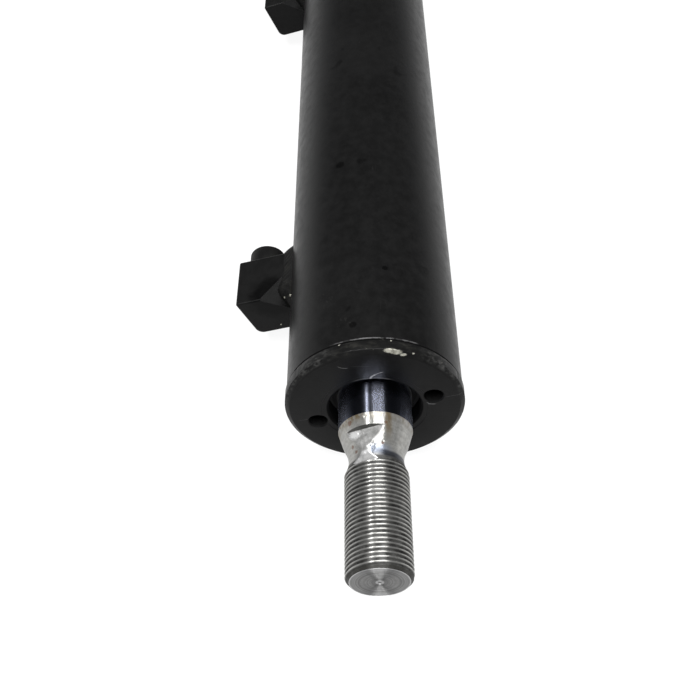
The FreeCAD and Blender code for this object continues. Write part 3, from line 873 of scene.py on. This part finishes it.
def black_paint():
    """Satin black enamel: faint mottling, dust, scratches, and metal showing on worn edges."""
    s = Shader("black_paint")
    mottle = s.ramp(s.noise(5.0, 6.0, 0.7), 0.3, 0.75)
    foot = FLANGE_START + SEAM_GROOVE
    rim = s.times(
        s.between(s.x, foot - 0.2, foot + 0.2),
        s.between(s.radius, FACE_R + 0.2, FLANGE_R - 0.6),
    )
    edge = s.edges(0.6)
    dust, lines, shade = paint_dust(s), scratches_and_lip_highlights(s), groove_line_and_recess_shade(s)
    smudge, rubbed = rim_wear(s, rim)
    bare = bare_spots(s, edge, rim)
    tarnish = s.ramp(s.noise(1.8, 4.0, 0.6), 0.30, 0.55)
    color = s.layered(
        enamel(s, mottle),
        (dust, 0.4, grey(0.10, 0.05)),
        # Scratches, with painted highlights along the bore's lip and a spanner hole's lip.
        (s.times(lines, lines), 1, grey(0.27)),
        (edge, 0.5, grey(0.018)),
        (smudge, 0.5, grey(0.020, 0.10)),
        (rubbed, 0.7, grey(0.050, 0.02)),
        # Painted highlight along the top of the tube's edge at the seam.
        (painted_seam_highlight(s), 0.6, grey(0.13)),
        # Dark seam groove line, and painted shade in the gland's recess.
        (shade, 1, grey(0.0008)),
        (bare, 1, s.blend(tarnish, grey(0.10, 0.14), grey(0.25, 0.11))),
    )
    rough = s.summed(0.28, (mottle, 0.12), (shade, 0.5), (rubbed, 0.25), (dust, 0.3), (smudge, 0.15))
    orange_peel = s.noise(3.0, 4.0, 0.6)
    height = s.summed(
        s.times(bare, -0.9),
        (s.noise(0.7, 2.0), 1.0), (lines, -0.5), (orange_peel, 2.2), (rubbed, -0.8),
    )
    return s.finish(
        color, rough, s.times(bare, 0.3), s.bump(height, 0.30, 0.05),
        Specular_IOR_Level=PAINT_GLOSS,
    )


def weld_paint():
    """Black enamel over weld metal: heavier mottling, soot, and bright crests."""
    s = Shader("weld_paint")
    mottle = s.ramp(s.noise(2.2, 6.0, 0.7), 0.3, 0.7)
    color = s.blend(mottle, grey(0.0025), grey(0.0070, 0.03))
    soot = s.ramp(s.noise(7.0, 4.0, 0.6), 0.5, 0.75)
    color = s.blend(s.times(soot, 0.6), color, grey(0.011, 0.12))
    crest = s.times(s.edges(0.5), s.ramp(s.noise(1.6, 4.0, 0.6), 0.58, 0.72))
    color = s.blend(s.times(crest, 0.5), color, grey(0.15, 0.08))
    rough = s.ramp(mottle, 0.0, 1.0, 0.38, 0.60)
    return s.finish(
        color, rough, s.times(crest, 0.5), s.bump(s.noise(0.6, 3.0), 0.5, 0.08),
        Specular_IOR_Level=PAINT_GLOSS,
    )


def spatter_metal():
    """Bare drops of weld metal, dull and slightly brown."""
    s = Shader("spatter_metal")
    tone = s.noise(0.5, 3.0, 0.6)
    color = s.blend(tone, grey(0.10, 0.16), grey(0.30, 0.12))
    return s.finish(color, s.ramp(tone, 0.3, 0.7, 0.35, 0.55), 0.6, s.bump(tone, 0.5, 0.05))


def phosphate():
    """Black phosphated steel: fine dark crystals with rubbed edges."""
    s = Shader("plug_black")
    crystal = s.noise(0.35, 3.0, 0.7)
    patches = s.ramp(s.noise(7, 3.0), 0.35, 0.7)
    color = s.blend(patches, grey(0.0042), grey(0.0078, 0.03))
    rubbed = s.times(s.edges(0.6), s.ramp(s.noise(2.0, 4.0, 0.7), 0.45, 0.65))
    color = s.blend(s.times(rubbed, 0.6), color, grey(0.12))
    rough = s.ramp(crystal, 0.2, 0.8, 0.40, 0.62)
    return s.finish(
        color, rough, s.times(rubbed, 0.6), s.bump(crystal, 0.25, 0.04),
        Specular_IOR_Level=PAINT_GLOSS,
    )


def rod_stains(s, cone):
    """Brown run-off under the plating, and rust freckles, on the turned cone."""
    from_plating = s.between(s.x, PLATING_END + 4.0, PLATING_END + 0.3)
    runs = s.ramp(s.noise(2.2, 5.0, 0.7, (0.8, 1, 1)), 0.38, 0.60)
    left = s.between(s.y, -3, -8)
    stain = s.times(s.times(from_plating, runs), s.ramp(left, 0, 1, 0.55, 1.0))
    streak = s.between(s.off(s.y, 4.7), 1.9, 0.5)
    streak = s.times(streak, s.ramp(s.noise(2.0, 4.0, 0.65, (0.3, 1, 1)), 0.30, 0.52))
    streak = s.times(streak, s.between(s.z, 4, 10))
    streak = s.times(streak, s.between(s.x, CONE_END + 5, PLATING_END + 3))
    stain = s.times(s.most(stain, streak), 0.85)
    freckles = s.ramp(s.noise(0.6, 4.0, 0.7), 0.58, 0.70)
    freckles = s.times(freckles, s.ramp(s.noise(4.5, 3.0, 0.6), 0.54, 0.68))
    for place, size in RUST:
        spot = s.spot(moved(PLATING_END, place), size, 0.9)
        freckles = s.most(freckles, s.times(spot, 0.9))
    return s.times(stain, cone), s.times(freckles, cone)


def chrome_color(s):
    """Blue-grey chrome with fine drawn lines along the rod."""
    drawn = s.noise(0.32, 3.0, 0.7, (0.02, 1, 1))
    chrome = s.blend(s.noise(9, 3.0), (0.48, 0.52, 0.67, 1), (0.58, 0.61, 0.73, 1))
    return s.blend(s.ramp(drawn, 0.45, 0.7, 0.0, 0.6), chrome, (0.36, 0.40, 0.55, 1))


def turned_steel(s, broad, thread, bare):
    """Steel of the cone, neck and thread: a painted blue highlight tint on the middle of the neck, and
    a painted highlight on sharp edges.
    """
    neck_highlight_tint = s.between(s.off(s.x, NECK + 0.5), 3.6, 0.5)
    neck_highlight_tint = s.times(neck_highlight_tint, s.between(s.maths("ABSOLUTE", s.y), 7, 2))
    mottle = s.ramp(s.noise(1.6, 5.0, 0.65), 0.3, 0.7)
    return s.layered(
        s.blend(mottle, grey(0.23, 0.04), grey(0.34, 0.04)),
        (s.ramp(broad, 0.35, 0.7, 0.0, 0.45), 1, grey(0.20, 0.04)),
        (thread, 0.6, grey(0.46, 0.03)),
        # Painted blue highlight on the middle of the neck.
        (neck_highlight_tint, 0.55, (0.24, 0.29, 0.40, 1)),
        # Painted highlight on sharp edges.
        (s.times(s.edges(0.35), bare), 0.6, grey(0.72)),
    )


def flat_masks(s):
    """The milled flats, and the wall that each leaves where it starts in the cone."""
    facing = (0.0, -math.sin(FLAT_CLOCK), math.cos(FLAT_CLOCK))
    through = s.maths("ABSOLUTE", s.measure("DOT_PRODUCT", s.place, facing))
    off_flat = s.maths("SUBTRACT", through, FLAT_DISTANCE * MM)
    along = s.between(s.x, FLAT_START - 0.05, FLAT_START + 0.05)
    along = s.times(along, s.between(s.x, FLAT_END + 0.1, FLAT_END))
    flat = s.times(s.between(s.maths("ABSOLUTE", off_flat), 0.22, 0.10), along)
    wall = s.between(s.off(s.x, FLAT_START), 0.10, 0.03)
    return flat, s.times(wall, s.between(off_flat, 0.10, 0.25))


def milled_steel(s):
    """Steel of the flats, with a painted highlight in one patch and next to the thread."""
    mottle = s.ramp(s.noise(2.6, 5.0, 0.65), 0.34, 0.66)
    bright = s.spot(moved(PLATING_END, PAINTED_FLAT_HIGHLIGHT), 1.7, 1.0, (1.0, 0.6, 1.0))
    bright = s.most(bright, s.between(s.x, NECK, NECK + 0.8))
    return s.layered(
        s.blend(mottle, grey(0.26, 0.02), grey(0.50, 0.01)),
        # Painted highlight on one patch of a flat and next to the thread.
        (bright, 0.6, grey(0.80)),
    )


def dark_thread_roots(s, flat, face):
    """Mask that darkens the roots of the thread."""
    root = s.between(s.radius, THREAD_R - 0.05, THREAD_ROOT_R + 0.60)
    root = s.times(root, s.between(s.x, NECK + 2.6, NECK + 4.2))
    root = s.without(s.without(root, flat), face)
    return s.times(root, s.ramp(s.noise(3.5, 4.0), 0.25, 0.7, 0.75, 0.98))


def neck_reflection_and_chamfer_dirt(s):
    """Painted dark reflection on the neck behind the thread, and dirt on the end chamfer."""
    neck_dark_reflection = s.between(s.off(s.x, NECK + 2.2), 2.4, 0.9)
    neck_dark_reflection = s.times(neck_dark_reflection, s.between(s.y, -2, 3))
    chamfer = s.between(s.x, ROD_END - END_CHAMFER, ROD_END - END_CHAMFER + 0.1)
    dirt = s.ramp(s.noise(2.4, 4.0, 0.65), 0.34, 0.58, 0.45, 0.92)
    return neck_dark_reflection, s.times(chamfer, dirt)


def faced_end(s):
    """Colour of the end face: tool rings, a paler border, a painted highlight along its outer edge,
    and a pale ring round the centre mark.
    """
    tool = s.ramp(s.noise(0.45, 2.0, 0.6, where=s.rings()), 0.32, 0.68)
    lip_highlight = s.between(s.radius, 10.7, 11.0)
    centre = s.between(s.off(s.radius, 1.1), 0.7, 0.2)
    return s.layered(
        s.blend(tool, grey(0.14, 0.01), grey(0.30, 0.01)),
        (s.ramp(s.noise(1.6, 4.0, 0.65), 0.34, 0.66, 0.0, 0.45), 1, grey(0.15)),
        (s.between(s.radius, 8.2, 9.8), 0.45, grey(0.36)),
        # Painted highlight along the face's outer edge, and a pale ring round the centre mark.
        (s.most(lip_highlight, s.times(centre, 0.7)), 1, grey(0.55)),
    )


def rod_metal():
    """Ground chrome on the sliding length, then turned steel with rust on the neck and thread."""
    s = Shader("chromed_rod")
    bare = s.between(s.x, PLATING_END - 0.02, PLATING_END + 0.02)
    thread = s.between(s.x, NECK + 0.5, NECK + 3.5)
    cone = s.maths("SUBTRACT", bare, thread)
    face = s.most(s.between(s.x, ROD_END - 0.03, ROD_END - 0.01), s.between(s.radius, 3.0, 2.9))
    broad = s.noise(1.1, 3.0, 0.6, where=s.rings())
    flat, wall = flat_masks(s)
    stain, freckles = rod_stains(s, cone)
    root_darkening = dark_thread_roots(s, flat, face)
    neck_dark_reflection, dirt = neck_reflection_and_chamfer_dirt(s)
    steel = s.layered(
        turned_steel(s, broad, thread, bare),
        (flat, 0.9, milled_steel(s)),
        # Painted shade on the wall at the start of each flat.
        (wall, 0.9, grey(0.060, 0.05)),
        (stain, 1, (0.135, 0.098, 0.045, 1)),
        (freckles, 0.8, (0.07, 0.025, 0.009, 1)),
        # Painted dark reflection on the neck behind the thread.
        (neck_dark_reflection, 0.85, (0.030, 0.034, 0.046, 1)),
        (root_darkening, 1, grey(0.012, 0.05)),
        (dirt, 1, grey(0.030, 0.08)),
        (face, 1, faced_end(s)),
    )
    color = s.blend(bare, chrome_color(s), steel)

    chrome_rough = s.ramp(s.noise(0.05, 2.0, 0.5, (1.0, 0.05, 0.05)), 0.2, 0.8, 0.140, 0.168)
    steel_rough = s.summed(
        s.ramp(broad, 0.2, 0.8, 0.27, 0.40),
        (freckles, 0.25), (stain, 0.12), (flat, 0.22), (root_darkening, 0.25), (thread, 0.10), (face, 0.25),
    )
    rough = s.add(bare, s.maths("SUBTRACT", steel_rough, chrome_rough), chrome_rough)
    metal = s.summed(1.0, (cone, -0.32), (thread, -0.12), (freckles, -0.3))
    metal = s.maths("MULTIPLY_ADD", root_darkening, -0.4, metal, clamp=True)

    lathe = s.noise(0.18, 3.0, 0.7, where=s.rings())
    marks = s.summed(broad, (lathe, 0.6), (s.noise(0.6, 4.0, 0.7), s.times(flat, 1.5)))
    marks = s.add(freckles, -0.5, s.times(marks, bare))
    tangent = s.new("ShaderNodeTangent", direction_type="RADIAL", axis="X").outputs[0]
    s.feed(s.bsdf.inputs["Tangent"], tangent)
    return s.finish(
        color, rough, metal, s.bump(marks, 0.20, 0.05), Anisotropic=1.0, Anisotropic_Rotation=0.25
    )


def turned_metal(name, dark, light, rough_low, rough_high):
    """Machined metal with lathe rings, stains and rubbed edges."""
    s = Shader(name)
    lathe = s.noise(0.25, 3.0, 0.7, where=s.rings())
    stain = s.ramp(s.noise(4.5, 5.0, 0.65), 0.35, 0.7)
    color = s.blend(stain, dark, light)
    color = s.blend(s.times(s.edges(0.5), 0.4), color, lighter(light, 1.35))
    rough = s.ramp(s.add(lathe, 0.5, s.times(stain, 0.5)), 0.2, 0.8, rough_low, rough_high)
    return s.finish(color, rough, 1.0, s.bump(lathe, 0.25, 0.04))


def moulded(name, dark, light, rough_low, rough_high, grain, bump_depth):
    """Rubber or plastic with a fine grain, faint flow marks and a dull bloom."""
    s = Shader(name)
    flow = s.ramp(s.noise(6, 4.0, 0.6), 0.3, 0.7)
    speck = s.noise(grain, 3.0, 0.6)
    color = s.blend(flow, dark, light)
    color = s.blend(s.ramp(speck, 0.62, 0.75, 0.0, 0.35), color, lighter(light, 1.6))
    rough = s.ramp(speck, 0.2, 0.8, rough_low, rough_high)
    return s.finish(color, rough, 0.0, s.bump(speck, 0.3, bump_depth))


def floor_white():
    """White floor that glows by itself and fades to the level of the horizon."""
    s = Shader("floor_white")
    tone = s.noise(400, 2.0)
    color = s.blend(tone, grey(0.085), grey(0.10))
    s.bsdf.inputs["Emission Color"].default_value = WHITE
    glow = s.ramp(s.measure("LENGTH", s.place), 1.0, 3.9, FLOOR_GLOW, HORIZON_GLOW)
    s.feed(s.bsdf.inputs["Emission Strength"], glow)
    return s.finish(color, 0.9, 0.0, Specular_IOR_Level=0.0)


materials = {
    "black_paint": black_paint(),
    "plug_black": phosphate(),
    "chromed_rod": rod_metal(),
    "zinc_steel": turned_metal("zinc_steel", grey(0.42, 0.03), grey(0.62, 0.01), 0.24, 0.42),
    "bush_bronze": turned_metal(
        "bush_bronze", (0.36, 0.22, 0.09, 1), (0.60, 0.41, 0.20, 1), 0.28, 0.46
    ),
    "piston_iron": turned_metal("piston_iron", grey(0.22), grey(0.34, 0.02), 0.36, 0.55),
    "seal_rubber": moulded("seal_rubber", grey(0.0025), grey(0.005), 0.62, 0.80, 0.4, 0.03),
    "seal_polyurethane": moulded(
        "seal_polyurethane", (0.05, 0.10, 0.24, 1), (0.08, 0.14, 0.30, 1), 0.30, 0.45, 0.6, 0.02
    ),
    "seal_ptfe": moulded(
        "seal_ptfe", (0.36, 0.23, 0.12, 1), (0.47, 0.31, 0.18, 1), 0.38, 0.55, 0.3, 0.02
    ),
    "wear_ring_acetal": moulded(
        "wear_ring_acetal", grey(0.10, 0.08), grey(0.17, 0.08), 0.42, 0.58, 0.5, 0.03
    ),
}
weld_black = weld_paint()
spatter_bright = spatter_metal()


def paint(piece, material):
    """Gives a piece its one material."""
    piece.data.materials.clear()
    piece.data.materials.append(material)
    return piece


# --------------------------------------------------------------------- pieces

for part in frame["record"]["subparts"]:
    for holder in nodes[part["node"]].material_slots:
        holder.material = materials[part["material_slot"]]

paint(piston_rod(), materials["chromed_rod"])
paint(gland(), materials["black_paint"])

welds = [
    saddle_weld(), seam_weld(),
    port_weld("rod_port_weld", ROD_PORT_X), port_weld("base_port_weld", BASE_PORT_X),
]
for weld in welds:
    paint(weld, weld_black)
    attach(weld, "barrel")

drops = spatter("rod_port_spatter", drop_places(ROD_PORT_X, BRIGHT_DROPS), seed=11)
paint(drops, spatter_bright)
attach(drops, "barrel")


# ---------------------------------------------------------------------- stage

FLOOR_HALF = 4.0
STRIP_HEIGHT = 1.2
STRIP_ALONG = (0.17, 1.14)
# Strips overhead as (name, from and to across the cylinder, radiance).
STRIPS = (
    ("wide_strip", -0.19, 0.53, 14.5),
    ("narrow_strip", -0.59, -0.50, 88.0),
)
CAMERA_PLACE = (0.6239, -0.0116, 0.3114)
CAMERA_RIGHT = (0.00611, 0.99998, 0.0)
CAMERA_BACK = (0.63777, -0.00390, 0.77022)
CAMERA_LENS = 48.22


def floor():
    """Square floor that the part lies on."""
    corners = [
        (x * FLOOR_HALF, y * FLOOR_HALF, FLOOR_Z) for x, y in ((-1, -1), (1, -1), (1, 1), (-1, 1))
    ]
    piece = finished("floor", corners, [(0, 1, 2, 3)])
    paint(piece, floor_white())


def strip_light(name, y_low, y_high, radiance):
    """Overhead strip whose length runs along the cylinder."""
    x_low, x_high = STRIP_ALONG
    data = bpy.data.lights.new(name, "AREA")
    data.shape = "RECTANGLE"
    data.size, data.size_y = x_high - x_low, y_high - y_low
    data.energy = radiance * math.pi * data.size * data.size_y
    light = bpy.data.objects.new(name, data)
    light.location = ((x_low + x_high) / 2, (y_low + y_high) / 2, STRIP_HEIGHT)
    bpy.context.scene.collection.objects.link(light)


def sky():
    """Light from all round, fading and turning bluer from the horizon upwards."""
    world = bpy.data.worlds.new("studio")
    bpy.context.scene.world = world
    world.use_nodes = True
    tree = world.node_tree
    background = tree.nodes["Background"].inputs
    place = tree.nodes.new("ShaderNodeTexCoord").outputs["Generated"]
    split = tree.nodes.new("ShaderNodeSeparateXYZ")
    tree.links.new(place, split.inputs[0])
    up = split.outputs["Z"]
    glow = tree.nodes.new("ShaderNodeMapRange")
    glow.interpolation_type = "SMOOTHSTEP"
    tree.links.new(up, glow.inputs[0])
    for socket, value in zip(glow.inputs[1:5], (0.02, 0.36, HORIZON_GLOW, ZENITH_GLOW)):
        socket.default_value = value
    tree.links.new(glow.outputs[0], background["Strength"])
    tint = tree.nodes.new("ShaderNodeMix")
    tint.data_type = "RGBA"
    tree.links.new(up, tint.inputs[0])
    tint.inputs[6].default_value = WHITE
    tint.inputs[7].default_value = ZENITH_BLUE
    tree.links.new(tint.outputs[2], background["Color"])


def camera():
    """Camera beyond the rod end, looking down and back along the cylinder."""
    data = bpy.data.cameras.new("camera")
    data.lens, data.sensor_width = CAMERA_LENS, 36.0
    data.clip_start, data.clip_end = 0.01, 20.0
    right, back = Vector(CAMERA_RIGHT).normalized(), Vector(CAMERA_BACK).normalized()
    turn = Matrix((right, back.cross(right), back)).transposed().to_4x4()
    piece = bpy.data.objects.new("camera", data)
    piece.matrix_world = Matrix.Translation(CAMERA_PLACE) @ turn
    bpy.context.scene.collection.objects.link(piece)
    bpy.context.scene.camera = piece


floor()
for strip in STRIPS:
    strip_light(*strip)
sky()
camera()
bpy.context.scene.view_settings.view_transform = "Standard"
